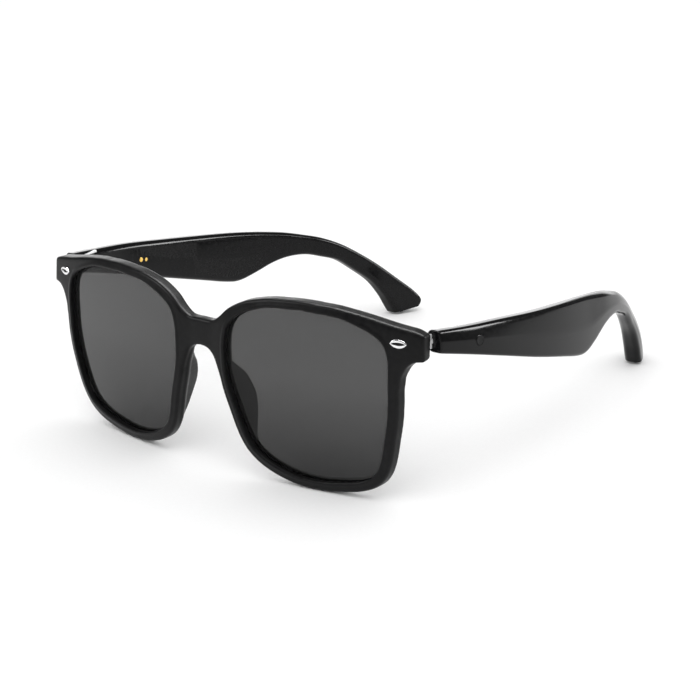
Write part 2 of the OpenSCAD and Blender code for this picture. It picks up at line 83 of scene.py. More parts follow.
LENS_X = (BRIDGE_W + LENS_W) / 2
LENS_Z = RIM_BOTTOM + LENS_H / 2
TOP_Z = RIM_BOTTOM + LENS_H + RIM_TOP
END_X = 71.3
END_TOP = TOP_Z - END_DROP
BRIDGE_TOP = TOP_Z - BRIDGE_DROP
ARCH_Z = BRIDGE_TOP - BRIDGE_H
FACE_Z = LENS_Z + 1.8
HINGE_Z = END_TOP - END_H * HINGE_SHARE


def face_y(x, z):
    return FACE_R - np.sqrt((FACE_R - FACE_RV + np.sqrt(FACE_RV**2 - (z - FACE_Z) ** 2)) ** 2 - x * x)


def face_lean(x, z):
    """Cosine of the angle between the face's normal and Y."""
    return np.cos(np.arcsin(x / FACE_R)) * np.cos(np.arcsin((z - FACE_Z) / FACE_RV))


BACK_Y = face_y(END_X - 4, HINGE_Z) + RIM_T / math.cos(math.asin((END_X - 4) / FACE_R))
HINGE_X, HINGE_Y = END_X - HINGE_IN, BACK_Y + KNUCKLE_R + KNUCKLE_GAP
TEMPLE_Y = BACK_Y + END_GAP
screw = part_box("hinge_screw_left")
ORIGIN_Y = HINGE_Y - (screw[0].y + screw[1].y) / 2 / MM
HINGE_HALF = KNUCKLE_H / 2 + KNUCKLE_RUN + EAR_H


# ---------------------------------------------------------------- curves
def stretch(a, b, c, d, t):
    return (2 * b + (c - a) * t + (2 * a - 5 * b + 4 * c - d) * t * t + (3 * b - a - 3 * c + d) * t**3) / 2


def closed(points, n):
    p, count = np.array(points, float), len(points)
    return np.array([
        stretch(p[i - 1], p[i], p[(i + 1) % count], p[(i + 2) % count], k / n)
        for i in range(count) for k in range(n)])


def opened(points, n):
    p, count = np.array(points, float), len(points)
    made = [
        stretch(p[max(i - 1, 0)], p[i], p[i + 1], p[min(i + 2, count - 1)], k / n)
        for i in range(count - 1) for k in range(n)]
    return np.array(made + [p[-1]])


def normals(p):
    step = np.roll(p, -1, 0) - np.roll(p, 1, 0)
    n = np.stack((step[:, 1], -step[:, 0]), 1)
    return n / np.linalg.norm(n, axis=1)[:, None]


def grow(p, distance):
    return p + distance * normals(p)


def grow_rim(p):
    n = normals(p)
    width = np.where(n[:, 1] > 0, np.hypot(RIM_SIDE * n[:, 0], RIM_TOP * n[:, 1]),
                     np.hypot(RIM_SIDE * n[:, 0], RIM_BOTTOM * n[:, 1]))
    return p + width[:, None] * n


OPENING_SHAPE = [
    [1, 0.23], [0.95, 0.73], [0.55, 0.95], [0.15, 1], [-0.18, 1], [-0.55, 0.95], [-0.94, 0.72],
    [-1, 0.23], [-0.89, -0.23], [-0.7, -0.73], [-0.27, -0.965], [0.25, -0.983], [0.76, -0.81], [0.95, -0.27]]
opening = closed([[LENS_X + a * LENS_W / 2, LENS_Z + b * LENS_H / 2] for a, b in OPENING_SHAPE], 12)
end_piece = np.concatenate((
    opened([
        [LENS_X, TOP_Z - 0.6], [LENS_X + 10, TOP_Z - 0.5], [LENS_X + 18.5, TOP_Z - 1.6],
        [LENS_X + 27, END_TOP + 1.3], [END_X - 1.5, END_TOP], [END_X, END_TOP - 1]], 8),
    opened([
        [END_X + 0.1, END_TOP - END_H + 0.1], [END_X - 0.2, END_TOP - END_H - 0.25],
        [END_X - 2.8, END_TOP - END_H - 0.6],
        [END_X - 4.6, END_TOP - END_H - 1.8], [END_X - 5.7, END_TOP - END_H - 3.4],
        [END_X - 6.6, END_TOP - END_H - 5.5], [LENS_X + LENS_W / 2 + RIM_SIDE + 0.1, END_TOP - END_H - 8.5],
        [LENS_X + LENS_W / 2 + RIM_SIDE - 0.9, LENS_Z - 0.5]], 8),
    [[LENS_X + LENS_W / 4, LENS_Z]]))
arch_side = np.array([
    [0, ARCH_Z], [BRIDGE_W * 0.14, ARCH_Z - 0.5], [BRIDGE_W * 0.25, ARCH_Z - 2.2],
    [BRIDGE_W * 0.34, ARCH_Z - 5.6], [BRIDGE_W * 0.42, ARCH_Z - 10], [BRIDGE_W * 0.5, ARCH_Z - 15]])
bridge_half = np.concatenate((
    opened([
        [LENS_X - 13, TOP_Z - 0.7], [LENS_X - 19, TOP_Z - 2.1], [LENS_X - 24.5, TOP_Z - 4.7],
        [LENS_X - 28.3, TOP_Z - 7.8], [BRIDGE_W / 4 - 0.5, BRIDGE_TOP + 0.1], [0, BRIDGE_TOP]], 8),
    opened(arch_side, 8),
    [[LENS_X - LENS_W / 4, ARCH_Z - 15]]))


# ---------------------------------------------------------------- distance fields
def inside(p, points):
    x, z = points[..., 0], points[..., 1]
    hit = np.zeros(x.shape, bool)
    for a, b in zip(p, np.roll(p, -1, 0)):
        crosses = (a[1] > z) != (b[1] > z)
        if abs(b[1] - a[1]) > 1e-12:
            hit ^= crosses & (x < (b[0] - a[0]) * (z - a[1]) / (b[1] - a[1]) + a[0])
    return hit


def to_segments(starts, ends, points):
    """Least distance from each point to the segments."""
    x, z = points[..., 0], points[..., 1]
    least = np.full(x.shape, 1e9)
    for a, b in zip(starts, ends):
        d = b - a
        t = np.clip(((x - a[0]) * d[0] + (z - a[1]) * d[1]) / max(d @ d, 1e-12), 0, 1)
        least = np.minimum(least, (x - a[0] - t * d[0]) ** 2 + (z - a[1] - t * d[1]) ** 2)
    return np.sqrt(least)


def signed(p, points):
    d = to_segments(p, np.roll(p, -1, 0), points)
    return np.where(inside(p, points), -d, d)


def union_signed(outlines, points):
    """Distance to the outline of several outlines together, negative inside."""
    starts, ends = [], []
    for i, p in enumerate(outlines):
        a, b = p, np.roll(p, -1, 0)
        pieces = np.maximum(1, np.ceil(np.linalg.norm(b - a, axis=1) / 0.8).astype(int))
        for s, e, n in zip(a, b, pieces):
            for k in range(n):
                u, v = s + (e - s) * k / n, s + (e - s) * (k + 1) / n
                middle = ((u + v) / 2)[None]
                if middle[0, 0] > 1e-6 and not any(
                        inside(q, middle)[0] for j, q in enumerate(outlines) if j != i):
                    starts.append(u)
                    ends.append(v)
    d = to_segments(starts, ends, points)
    within = np.any([inside(p, points) for p in outlines], 0)
    return np.where(within, -d, d)


def meet(a, b, r):
    """Both solids, with the edge between them rounded to a radius."""
    return np.minimum(-r, np.maximum(a, b)) + np.hypot(np.maximum(a + r, 0), np.maximum(b + r, 0))


def join(a, b, k):
    h = np.clip(0.5 + 0.5 * (b - a) / k, 0, 1)
    return b + (a - b) * h - k * h * (1 - h)


def smooth(edge0, edge1, v):
    t = np.clip((v - edge0) / (edge1 - edge0), 0, 1)
    return t * t * (3 - 2 * t)


def surface_net(field, axes):
    """Vertices and faces of the field's zero surface on a box grid (solid is negative)."""
    solid = field < 0
    corner_steps = [(i, j, k) for i in (0, 1) for j in (0, 1) for k in (0, 1)]
    size = [n - 1 for n in field.shape]

    def shifted(a, i, j, k):
        return a[i:i + size[0], j:j + size[1], k:k + size[2]]
    count = sum(shifted(solid, *c).astype(np.int8) for c in corner_steps)
    cells = np.argwhere((count > 0) & (count < 8))
    index = np.full(size, -1)
    index[tuple(cells.T)] = np.arange(len(cells))
    values = {c: field[tuple((cells + c).T)] for c in corner_steps}
    total, crossings = np.zeros((len(cells), 3)), np.zeros(len(cells))
    for c in corner_steps:
        for axis in range(3):
            if c[axis]:
                continue
            e = tuple(1 if i == axis else c[i] for i in range(3))
            a, b = values[c], values[e]
            cut = (a < 0) != (b < 0)
            t = np.where(cut, a / np.where(cut, a - b, 1), 0)
            place = np.array(c, float)[None].repeat(len(cells), 0)
            place[:, axis] = t
            total[cut] += place[cut]
            crossings += cut
    where = cells + total / crossings[:, None]
    co = np.stack([np.interp(where[:, i], np.arange(len(axes[i])), axes[i]) for i in range(3)], 1)
    faces = []
    for axis in range(3):
        u, v = (axis + 1) % 3, (axis + 2) % 3
        head = [slice(None)] * 3
        tail = [slice(None)] * 3
        head[axis], tail[axis] = slice(0, -1), slice(1, None)
        a, b = solid[tuple(head)], solid[tuple(tail)]
        at = np.argwhere(a != b)
        at = at[(at[:, u] > 0) & (at[:, v] > 0) & (at[:, u] < size[u]) & (at[:, v] < size[v])]
        into = a[tuple(at.T)]
        quad = []
        for du, dv in ((-1, -1), (0, -1), (0, 0), (-1, 0)):
            cell = at.copy()
            cell[:, u] += du
            cell[:, v] += dv
            quad.append(index[tuple(cell.T)])
        quad = np.stack(quad, 1)
        quad[~into] = quad[~into][:, ::-1]
        faces.append(quad)
    return co, np.concatenate(faces)


# ---------------------------------------------------------------- making objects
def piece(name, points, faces, body, nodes=(), sharp=35):
    """A mesh from points in mm, which rides a body and replaces CAD nodes; a cutter has no body."""
    co = (np.array(points, float) - (0, ORIGIN_Y, 0)) * MM
    mesh = bpy.data.meshes.new(name)
    mesh.from_pydata(co.tolist(), [], [list(map(int, f)) for f in faces])
    mesh.validate()
    mesh.update()
    obj = bpy.data.objects.new(name, mesh)
    scene.collection.objects.link(obj)
    shade(obj, sharp)
    if body:
        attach(obj, body)
        if nodes:
            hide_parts(*nodes)
    return obj


def shade(obj, sharp):
    obj.data.shade_smooth()
    if sharp:
        obj.data.set_sharp_from_angle(angle=math.radians(sharp))


def mirrored(points, faces, sign):
    points = np.array(points, float) * (sign, 1, 1)
    return points, [f if sign > 0 else f[::-1] for f in faces]


def loft(rings):
    """Faces between rings of the same number of points, with a fan at each end."""
    rings = np.array(rings, float)
    count, n = rings.shape[:2]
    faces = [
        [i * n + k, i * n + (k + 1) % n, (i + 1) * n + (k + 1) % n, (i + 1) * n + k]
        for i in range(count - 1) for k in range(n)]
    points = np.concatenate((rings.reshape(-1, 3), [rings[0].mean(0), rings[-1].mean(0)]))
    first, last = count * n, count * n + 1
    faces += [[first, (k + 1) % n, k] for k in range(n)]
    faces += [[last, (count - 1) * n + k, (count - 1) * n + (k + 1) % n] for k in range(n)]
    return points, faces


def cut(obj, cutters):
    """Take the cutters out of a mesh, and keep the result as plain mesh."""
    for cutter in cutters:
        boolean = obj.modifiers.new("cut", "BOOLEAN")
        boolean.operation, boolean.solver, boolean.object = "DIFFERENCE", "EXACT", cutter
    bpy.context.view_layer.update()
    done = bpy.data.meshes.new_from_object(obj.evaluated_get(bpy.context.evaluated_depsgraph_get()))
    obj.modifiers.clear()
    obj.data = done
    for cutter in cutters:
        bpy.data.objects.remove(cutter)


# ---------------------------------------------------------------- materials
def material(name, color, rough, metal=0.0, spread=0.06, noise=900, bump=0.15, grain=4000,
             specular=0.5, shade_by=0.25):
    """Plastic or metal: fine bump, patches of roughness and a little colour variation."""
    mat = bpy.data.materials.new(name)
    mat.use_nodes = True
    nodes, links = mat.node_tree.nodes, mat.node_tree.links
    shader = nodes["Principled BSDF"]
    place = nodes.new("ShaderNodeTexCoord")
    patches = nodes.new("ShaderNodeTexNoise")
    patches.inputs["Scale"].default_value = noise
    patches.inputs["Detail"].default_value = 5
    fine = nodes.new("ShaderNodeTexNoise")
    fine.inputs["Scale"].default_value = grain
    fine.inputs["Detail"].default_value = 3
    for n in (patches, fine):
        links.new(place.outputs["Object"], n.inputs["Vector"])
    span = nodes.new("ShaderNodeMapRange")
    span.inputs["From Min"].default_value, span.inputs["From Max"].default_value = 0.3, 0.7
    span.inputs["To Min"].default_value = max(rough - spread, 0.02)
    span.inputs["To Max"].default_value = min(rough + spread, 1)
    links.new(patches.outputs["Fac"], span.inputs["Value"])
    links.new(span.outputs["Result"], shader.inputs["Roughness"])
    ramp = nodes.new("ShaderNodeValToRGB")
    ramp.color_ramp.elements[0].position, ramp.color_ramp.elements[1].position = 0.3, 0.7
    ramp.color_ramp.elements[0].color = (*(c * (1 - shade_by) for c in color), 1)
    ramp.color_ramp.elements[1].color = (*(min(c * (1 + shade_by), 1) for c in color), 1)
    links.new(patches.outputs["Fac"], ramp.inputs["Fac"])
    links.new(ramp.outputs["Color"], shader.inputs["Base Color"])
    relief = nodes.new("ShaderNodeBump")
    relief.inputs["Strength"].default_value = bump
    relief.inputs["Distance"].default_value = 0.00002
    links.new(fine.outputs["Fac"], relief.inputs["Height"])
    links.new(relief.outputs["Normal"], shader.inputs["Normal"])
    shader.inputs["Metallic"].default_value = metal
    shader.inputs["Specular IOR Level"].default_value = specular
    return mat


def lens_glass():
    """Grey tinted lens of two surfaces, each partly open to light, and lighter towards its top."""
    mat = bpy.data.materials.new("lens_grey")
    mat.use_nodes = True
    nodes, links = mat.node_tree.nodes, mat.node_tree.links
    shader = nodes["Principled BSDF"]
    place = nodes.new("ShaderNodeTexCoord")
    parts = nodes.new("ShaderNodeSeparateXYZ")
    links.new(place.outputs["Object"], parts.inputs["Vector"])
    smudge = nodes.new("ShaderNodeTexNoise")
    smudge.inputs["Scale"].default_value = 60
    smudge.inputs["Detail"].default_value = 4
    links.new(place.outputs["Object"], smudge.inputs["Vector"])
    gradient = nodes.new("ShaderNodeMapRange")
    gradient.inputs["From Min"].default_value, gradient.inputs["From Max"].default_value = 0.004, 0.032
    gradient.inputs["To Min"].default_value, gradient.inputs["To Max"].default_value = 0.81, 0.72
    links.new(parts.outputs["Z"], gradient.inputs["Value"])
    links.new(gradient.outputs["Result"], shader.inputs["Alpha"])
    # base colour darker towards the bottom of the lens and lighter towards its top
    grey_by_height = nodes.new("ShaderNodeMapRange")
    grey_by_height.inputs["From Min"].default_value, grey_by_height.inputs["From Max"].default_value = 0.004, 0.052
    grey_by_height.inputs["To Min"].default_value, grey_by_height.inputs["To Max"].default_value = 0.008, 0.016
    links.new(parts.outputs["Z"], grey_by_height.inputs["Value"])
    mix = nodes.new("ShaderNodeCombineColor")
    for socket in ("Red", "Green", "Blue"):
        links.new(grey_by_height.outputs["Result"], mix.inputs[socket])
    links.new(mix.outputs["Color"], shader.inputs["Base Color"])
    span = nodes.new("ShaderNodeMapRange")
    span.inputs["To Min"].default_value, span.inputs["To Max"].default_value = 0.05, 0.07
    links.new(smudge.outputs["Fac"], span.inputs["Value"])
    links.new(span.outputs["Result"], shader.inputs["Roughness"])
    shader.inputs["Specular IOR Level"].default_value = 0.16
    return mat


MATERIALS = {
    "frame_black": material("frame_black", (0.006, 0.006, 0.0063), 0.34, noise=700, bump=0.3, specular=0.13),
    "temple_gloss": material(
        "temple_gloss", (0.005, 0.005, 0.0053), 0.13, spread=0.03, bump=0.1, specular=0.17),
    "cover_black": material("cover_black", (0.006, 0.006, 0.0063), 0.26, bump=0.12, grain=5000, specular=0.17),
    "lens_grey": lens_glass(),
    "rivet_silver": material("rivet_silver", (0.86, 0.86, 0.87), 0.2, metal=1.0, bump=0.08, shade_by=0.05),
    "hinge_steel": material("hinge_steel", (0.9, 0.9, 0.9), 0.3, metal=0.4, bump=0.15, shade_by=0.05),
    "screw_steel": material("screw_steel", (0.85, 0.85, 0.85), 0.3, metal=0.5, bump=0.2, shade_by=0.08),
    "button_black": material("button_black", (0.006, 0.006, 0.0063), 0.2, bump=0.15, specular=0.17),
    "battery_foil": material("battery_foil", (0.72, 0.73, 0.75), 0.3, metal=0.9, bump=0.5, noise=500),
    "board_green": material("board_green", (0.02, 0.16, 0.06), 0.38, bump=0.5, noise=1500),
    "flex_amber": material("flex_amber", (0.6, 0.26, 0.04), 0.3, bump=0.2, noise=1200),
    "speaker_steel": material("speaker_steel", (0.4, 0.4, 0.42), 0.35, metal=0.9, bump=0.3),
    "grille_mesh": material("grille_mesh", (0.05, 0.05, 0.052), 0.5, metal=0.4, bump=0.8, grain=6000),
    "microphone_can": material("microphone_can", (0.75, 0.62, 0.3), 0.3, metal=1.0, bump=0.2),
    "contact_gold": material("contact_gold", (0.9, 0.58, 0.14), 0.3, metal=0.6, bump=0.1, shade_by=0.06),
    "magnet_nickel": material("magnet_nickel", (0.7, 0.7, 0.68), 0.25, metal=1.0, bump=0.15),
}


def dress(obj, slot):
    obj.data.materials.clear()
    obj.data.materials.append(MATERIALS[slot])


# ---------------------------------------------------------------- front
STEP, DEPTH_STEP = 0.37, 0.3
half = np.arange(0, 74.4, STEP)
xs = np.concatenate((-half[:0:-1], half))
zs = np.arange(-0.9, 55.4, STEP)
ws = np.arange(-0.9, 10.6, DEPTH_STEP)
flat = np.stack(np.meshgrid(half, zs, indexing="ij"), -1)
rim_outline = grow_rim(opening)
outer = union_signed([rim_outline, end_piece, bridge_half], flat)
hole = -signed(opening, flat)


def both_halves(a):
    return np.concatenate((a[:0:-1], a))[:, :, None]


outer, hole = both_halves(outer), both_halves(hole)
X, Z, W = xs[:, None, None], zs[None, :, None], ws[None, None, :]
lean = face_lean(X, Z)
depth = W * lean
back = RIM_T_LOW + (RIM_T - RIM_T_LOW) * np.clip(Z / TOP_Z, 0, 1)
# the bridge is dished, and a low ridge follows each lens opening
middle = np.abs(X)
dish = 0.55 * smooth(10.5, 3, middle) * smooth(BRIDGE_TOP - 24, ARCH_Z - 4, Z)
ridge = 0.16 * smooth(0.75, 1.15, -hole) * smooth(-0.2, -0.9, outer)
front_level = dish + ridge
ahead = front_level - depth
slant = 0.6 * np.clip(depth / RIM_T, 0, 1.2) * smooth(END_X - 4, END_X - 0.5, middle)
side = outer + slant
chamfer = (side + ahead + 0.62) * math.sqrt(0.5)
edge = meet(meet(side, ahead, 0.45), chamfer, 0.3)
body = np.maximum(edge, meet(side, depth - back, 0.7))
body = np.maximum(body, meet(hole, ahead, 0.3))
body = np.maximum(body, meet(hole, depth - back, 0.3))
groove_cut = np.maximum(np.abs(depth - RECESS - LENS_T / 2) - LENS_T / 2 - 0.05, -hole - GROOVE - 0.05)
body = np.maximum(body, -groove_cut)
# nose pads: thin leaves that lean outwards behind the nose side of each rim
Y = face_y(X, Z) + W
yz = np.stack(np.broadcast_arrays(Y, Z), -1)
leaf = opened([
    [0, ARCH_Z - 1.6], [3.2, ARCH_Z - 2], [PAD_REACH * 0.68, ARCH_Z - 6], [PAD_REACH * 0.88, ARCH_Z - 8.7],
    [PAD_REACH, ARCH_Z - 13], [PAD_REACH * 0.96, ARCH_Z - 16.5], [PAD_REACH * 0.78, ARCH_Z - 21.5],
    [PAD_REACH * 0.54, ARCH_Z - 26.5], [3.2, ARCH_Z - 30], [0, ARCH_Z - 31]], 4)
near = (middle[:, 0, 0] < 24)
leaf_side = np.full(np.broadcast(X, Y).shape, 50.0)
half_near = np.nonzero((xs >= 0) & near)[0]
leaf_values = signed(leaf, yz[half_near])
leaf_side[half_near] = leaf_values
leaf_side[len(xs) - 1 - half_near] = leaf_values
solid_here = outer[len(half) - 1:, :, 0] < 0
nose_edge = half[np.argmax(solid_here, axis=0)]
inner_line = np.where((zs < ARCH_Z - 1.5) & (zs > 4.5), nose_edge, np.nan)
known = ~np.isnan(inner_line)
inner_line = np.interp(zs, zs[known], inner_line[known])
inner_line = np.convolve(np.pad(inner_line, 4, "edge"), np.ones(9) / 9, "valid")[None, :, None]
pad_mid = inner_line + 1.35 + 0.17 * np.maximum(Y - RIM_T, 0)
pad_half = 1.25 - 0.07 * np.clip(Y - RIM_T, 0, 6)
pad = meet(np.abs(middle - pad_mid) - pad_half, leaf_side, 0.9)
pad = np.maximum(pad, RECESS + LENS_T + 0.15 - depth)
body = np.where(Y > 1.5, join(body, pad, 1.1), body)
# pocket for the hinge plate
turn = math.asin(HINGE_X / FACE_R)
px, py = middle - (HINGE_X - PLATE_IN), Y - BACK_Y + PLATE_IN * math.tan(turn)
plate_x = px * math.cos(turn) + py * math.sin(turn)
plate_y = -px * math.sin(turn) + py * math.cos(turn)
pocket = np.maximum(np.abs(plate_x) - PLATE_W / 2 - PLATE_FIT, np.abs(Z - HINGE_Z) - HINGE_HALF - PLATE_FIT)
pocket = np.maximum(pocket, -PLATE_T - PLATE_FIT - plate_y)
body = np.maximum(body, -pocket)
points, faces = surface_net(body, (xs, zs, ws))
points = np.stack((points[:, 0], face_y(points[:, 0], points[:, 1]) + points[:, 2], points[:, 1]), 1)
front = piece("front", points, faces[:, ::-1], "front", ["front_frame"], sharp=0)
dress(front, "frame_black")

# ---------------------------------------------------------------- lenses
lens_edge = grow(opening, GROOVE)
lens_middle = np.array([LENS_X, LENS_Z])
SHARES = (1, 0.985, 0.93, 0.85, 0.75, 0.64, 0.52, 0.4, 0.28, 0.16, 0.06)


def lens_sheet(where):
    rings = []
    for share in SHARES:
        ring = lens_middle + (lens_edge - lens_middle) * share
        y = face_y(ring[:, 0], ring[:, 1]) + where / face_lean(ring[:, 0], ring[:, 1])
        rings.append(np.stack((ring[:, 0], y, ring[:, 1]), 1))
    return rings


for name, sign in SIDES:
    rings = lens_sheet(RECESS)[::-1] + lens_sheet(RECESS + LENS_T)
    points, faces = mirrored(*loft(rings), sign)
    lens = piece("lens_" + name + "_sheet", points, faces, "front", ["lens_" + name], sharp=50)
    dress(lens, "lens_grey")

# ---------------------------------------------------------------- temples
BOW_Y = TEMPLE_Y + BOW_MIDDLE
SIDE_X = END_X + BOW_OUT
TEMPLE_TOP = HINGE_Z + TEMPLE_H / 2 + 0.1
LOW_Z = TEMPLE_TOP - 9.1 - BODY_H


def flare(y):
    return TIP_FLARE * smooth(0, 1, (y - TEMPLE_Y) / TEMPLE_L / 0.12 - 7.1)


def bow(y):
    return np.where(y < BOW_Y, BOW_FRONT, BOW_BACK)


def outer_x(y):
    return SIDE_X - bow(y) * (y - BOW_Y) ** 2 + flare(y)


def thickness(y):
    return flare(y) + np.interp(y - TEMPLE_Y, [0, TEMPLE_L * 0.38, TEMPLE_L * 0.7], [TEMPLE_T, BODY_T, 5])


def outer_turn(y):
    return np.arctan(2 * bow(y) * (y - BOW_Y))


def along(share):
    return TEMPLE_Y + share * TEMPLE_L


T, H, L = TEMPLE_TOP, TEMPLE_H, LOW_Z
EDGES = [
    [0, T, 0, T - H - 0.3], [0.085, T - 1.4, 0.085, T - H - 3.4], [0.19, T - 3, 0.19, T - H - 7.6],
    [0.31, T - 5.3, 0.295, L + BODY_H * 0.47], [0.42, T - 7.3, 0.4, L + BODY_H * 0.22],
    [0.5, T - 8.8, 0.475, L + 0.7], [0.555, T - 10, 0.515, L], [0.605, T - 11.3, 0.56, L + 1.3],
    [0.655, T - 12.8, 0.61, L + 3.3], [0.705, T - 14.8, 0.655, L + 4.2], [0.755, T - 17.1, 0.705, L + 3.8],
    [0.805, T - 20.5, 0.75, L + 1.9], [0.85, 24.2, 0.795, 22.8], [0.9, 18.9, 0.84, 18],
    [0.945, 13.2, 0.88, 13], [0.985, 7.8, 0.909, 7.4], [1.003, 4.2, 0.924, 3.4], [0.998, 2, 0.934, 0.7]]
upper = opened([[along(e[0]), e[1]] for e in EDGES], 8)
lower = opened([[along(e[2]), e[3]] for e in EDGES], 8)


def arc(cx, cy, r, start, end, n):
    a = np.radians(np.linspace(start, end, n))
    return np.stack((cx + r * np.cos(a), cy + r * np.sin(a)), 1)


CREASE, LEAN, CROWN = 0.5, 0.23, 0.12


def temple_ring(u, l, shrink=0.0):
    """A section from the lower edge l to the upper edge u: crisp outer edges, round inner ones."""
    height, thick = np.linalg.norm(u - l), float(thickness((u[0] + l[0]) / 2))
    share = (float(u[0]) - TEMPLE_Y) / TEMPLE_L
    crisp = float(np.interp(share, [0, 0.4, 0.62, 0.8], [0.8, 0.9, 1.5, 2.1]))
    soft = min(1.7, 0.45 * thick, 0.45 * height)
    h, t = height - 2 * shrink, thick - 2 * shrink
    crisp, soft = max(crisp - shrink, 0.15), max(soft - shrink, 0.2)
    path = np.concatenate((
        np.stack((np.zeros(13), np.linspace(crisp, h - crisp, 13)), 1)[1:-1],
        arc(crisp, h - crisp, crisp, 180, 90, 7),
        np.stack((np.linspace(crisp, t - soft, 4), np.full(4, h)), 1)[1:-1],
        arc(t - soft, h - soft, soft, 90, 0, 9),
        np.stack((np.full(9, t), np.linspace(h - soft, soft, 9)), 1)[1:-1],
        arc(t - soft, soft, soft, 0, -90, 9),
        np.stack((np.linspace(t - soft, crisp, 4), np.zeros(4)), 1)[1:-1],
        arc(crisp, crisp, crisp, 270, 180, 7)))
    # the outer face is crowned, and above the crease it leans inwards
    inset, rise = path[:, 0] + shrink, path[:, 1] + shrink
    p = l + (u - l) * (rise / height)[:, None]
    over = np.maximum(rise / height - CREASE, 0) * height
    crown = (LEAN * over + CROWN * (2 * rise / height - 1) ** 2) * smooth(thick * 0.8, 0, inset)
    return np.stack((outer_x(p[:, 0]) - inset - crown, p[:, 0], p[:, 1]), 1)


FRONT_ROUND, FRONT_RINGS = 0.3, 3
TIP_RINGS, TIP_SINK = 6, 1.0


def temple_points():
    # the front end has a rounded edge
    rings = []
    for k in range(FRONT_RINGS, -1, -1):
        a = math.pi / 2 * k / FRONT_RINGS
        move = (FRONT_ROUND * (1 - math.sin(a)), 0)
        rings.append(temple_ring(upper[0] + move, lower[0] + move, FRONT_ROUND * (1 - math.cos(a))))
    rings += [temple_ring(u, l) for u, l in zip(upper[1:], lower[1:])]
    # the ear tip's rounded end
    last_ring = rings[-1]
    centre = last_ring.mean(0)
    for k in range(1, TIP_RINGS + 1):
        size = math.cos(math.pi / 2 * k / (TIP_RINGS + 0.5))
        ring = centre + (last_ring - centre) * size
        ring[:, 2] = last_ring[:, 2] * size + (centre[2] - TIP_SINK) * (1 - size)
        rings.append(ring)
    rings = np.array(rings)
    rings[:, :, 2] = np.maximum(rings[:, :, 2], 0.0)
    return rings


temple_rings = temple_points()


def follow(p, insets):
    """Rings of a bar that follows the bow, from (y, low z, high z) and two depths below the outer face."""
    rings = []
    for y, low, high in p:
        a, b = float(outer_x(y)) - insets[0](y), float(outer_x(y)) - insets[1](y)
        rings.append([(a, y, low), (a, y, high), (b, y, high), (b, y, low)])
    return rings


def edge_z(edge, y):
    return np.interp(y, edge[:, 0], edge[:, 1])


BAY_START, BAY_END = 0.083, 0.58


def bay(margin, n=40):
    ys = np.linspace(along(BAY_START) + margin, along(BAY_END) - margin, n)
    low, high = edge_z(lower, ys) + LIP + 0.2 + margin, edge_z(upper, ys) - LIP - 0.2 - margin
    return [(y, a, b) for y, a, b in zip(ys, low, high)]


def box_at(x0, x1, y0, y1, z0, z1, sign):
    rings = [[(x0, y, z0), (x0, y, z1), (x1, y, z1), (x1, y, z0)] for y in (y0, y1)]
    return cutter(rings, sign)


def cutter(rings, sign):
    points, faces = mirrored(*loft(rings), sign)
    return piece("cutter", points, faces, None, sharp=0)


def turned_disc(profile, place, direction, segments=40):
    """A turned piece: profile of (radius, height along direction)."""
    direction = Vector(direction).normalized()
    side_a = direction.orthogonal().normalized()
    side_b = direction.cross(side_a)
    rings = []
    for r, h in profile:
        ring = []
        for k in range(segments):
            a = 2 * math.pi * k / segments
            ring.append(Vector(place) + direction * h + r * (math.cos(a) * side_a + math.sin(a) * side_b))
        rings.append(ring)
    return loft(rings)


def temple_place(share, z, inset):
    y = along(share)
    turn_here = float(outer_turn(y))
    n = Vector((math.cos(turn_here), math.sin(turn_here), 0))
    return Vector((float(outer_x(y)), y, z)) - n * inset, n


BUTTON_SHARE, BUTTON_Z = 0.105, TEMPLE_TOP - TEMPLE_H / 2 - 2.8
for name, sign in SIDES:
    points, faces = mirrored(*loft(temple_rings), -sign)
    points = points * (-1, 1, 1)
    shell = piece("temple_" + name + "_shell", points, faces, None, sharp=0)
    cutters = [cutter(follow(bay(0), (lambda y: WALL, lambda y: float(thickness(y)) + 2)), sign)]
    cutters.append(box_at(
        HINGE_X + KNUCKLE_R + 0.4, HINGE_X - 10, HINGE_Y - 2, TEMPLE_Y + 2.05,
        HINGE_Z - HINGE_HALF - 0.15, HINGE_Z + HINGE_HALF + 0.15, sign))
    spot, n = temple_place(BUTTON_SHARE, BUTTON_Z, 0)
    hole_points, hole_faces = turned_disc([(BUTTON_R + 0.1, -2.2), (BUTTON_R + 0.1, 1.0)], spot, n)
    hole_points, hole_faces = mirrored(hole_points, hole_faces, sign)
    cutters.append(piece("cutter", hole_points, hole_faces, None, sharp=0))
    cut(shell, cutters)
    shade(shell, 32)
    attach(shell, "temple_" + name)
    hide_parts("temple_shell_" + name)
    dress(shell, "temple_gloss")

    # inner cover with a fine rounded edge
    gap, bevel = 0.07, 0.14
    rings = []
    path = bay(gap, 60)
    stations = [(*path[0], bevel)] + [(*p, 0) for p in path] + [(*path[-1], bevel)]
    stations[1] = (path[0][0] + bevel, path[0][1], path[0][2], 0)
    stations[-2] = (path[-1][0] - bevel, path[-1][1], path[-1][2], 0)
    for y, low, high, down in stations:
        full = float(thickness(y))
        x = float(outer_x(y))
        ring = [(x - full + COVER_T, y, low), (x - full + bevel + down, y, low)]
        ring += [(x - full + down, y, z) for z in np.linspace(low + bevel, high - bevel, 7)]
        ring += [(x - full + bevel + down, y, high), (x - full + COVER_T, y, high)]
        rings.append(ring)
    points, faces = mirrored(*loft(rings), -sign)
    points = points * (-1, 1, 1)
    cover = piece("temple_" + name + "_cover", points, faces, "temple_" + name,
                  ["temple_cover_" + name], sharp=35)
    dress(cover, "cover_black")

    # push button with a rounded edge and a dished top
    top = [
        (0.25, -0.02), (0.8, -0.005), (1.05, 0.03), (1.22, 0.04), (1.32, 0.0), (1.38, -0.1),
        (BUTTON_R, -0.3), (BUTTON_R, -1.7)]
    points, faces = mirrored(*turned_disc(top[::-1], spot, n), sign)
    button = piece("button_" + name + "_cap", points, faces, "button_" + name,
                   ["button_" + name], sharp=50)
    dress(button, "button_black")

